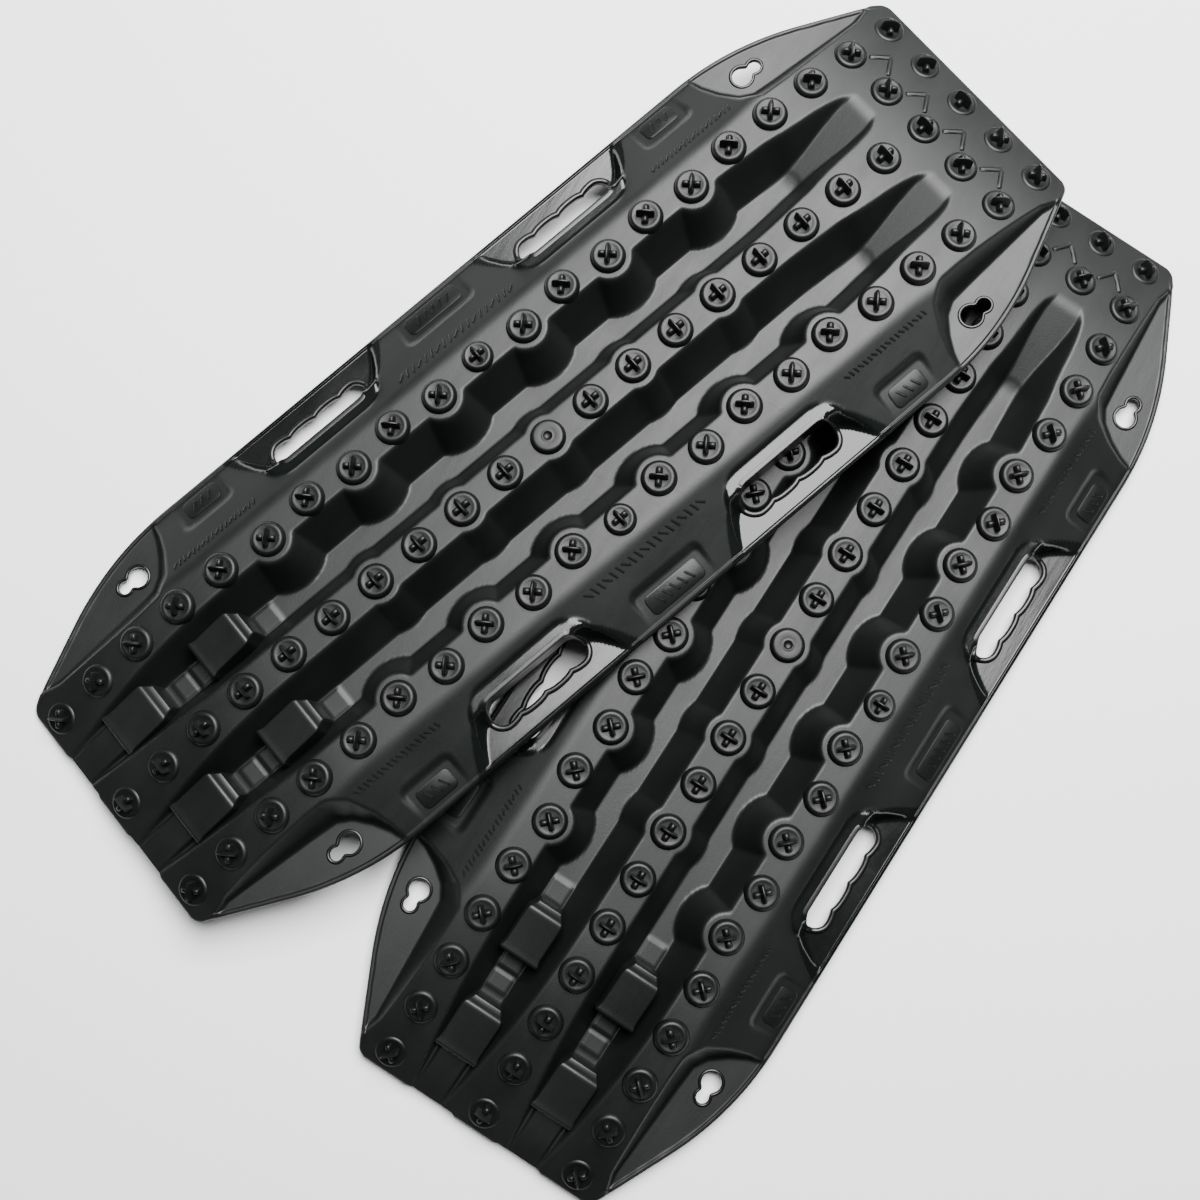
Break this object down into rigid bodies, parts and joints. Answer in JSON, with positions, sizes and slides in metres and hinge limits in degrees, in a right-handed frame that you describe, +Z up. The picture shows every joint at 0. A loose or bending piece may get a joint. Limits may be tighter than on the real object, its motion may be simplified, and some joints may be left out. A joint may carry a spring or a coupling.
{
  "type": "tire traction mats",
  "caption": "Pair of rigid black traction boards with studded rails, deep channels, ramped ends, hand slots and keyholes, one lying across the other.",
  "frame": {"origin": "centre of the pair's footprint, on the ground", "axes": "+X along the lower board towards its nose, +Y to the side that the upper board lies on, +Z up"},
  "size_m": [0.932, 0.6474, 0.1081],
  "materials": {
    "black_nylon": "satin moulded surface with a fine grain",
    "stud_nylon": "satin, a little smoother on the disc tops",
    "polished_nylon": "semi-gloss, polished mould face"
  },
  "bodies": {
    "lower_board": {"lower_track_bed": "black_nylon", "lower_left_flange": "black_nylon", "lower_right_flange": "black_nylon", "lower_centre_studs": "stud_nylon", "lower_left_studs": "stud_nylon", "lower_right_studs": "stud_nylon", "lower_nose_studs": "stud_nylon", "lower_gate_button": "stud_nylon", "lower_wedge_blocks": "black_nylon", "lower_handle_rims": "polished_nylon", "lower_side_badges": "polished_nylon", "lower_nose_chevrons": "black_nylon"},
    "upper_board": {"upper_track_bed": "black_nylon", "upper_left_flange": "black_nylon", "upper_right_flange": "black_nylon", "upper_centre_studs": "stud_nylon", "upper_left_studs": "stud_nylon", "upper_right_studs": "stud_nylon", "upper_nose_studs": "stud_nylon", "upper_gate_button": "stud_nylon", "upper_wedge_blocks": "black_nylon", "upper_handle_rims": "polished_nylon", "upper_side_badges": "polished_nylon", "upper_nose_chevrons": "black_nylon"}
  },
  "joints": [
    {"name": "lift", "type": "slide", "parent": "lower_board", "child": "upper_board", "axis": [0, 0, 1], "range_m": [0, 0.25]}
  ]
}
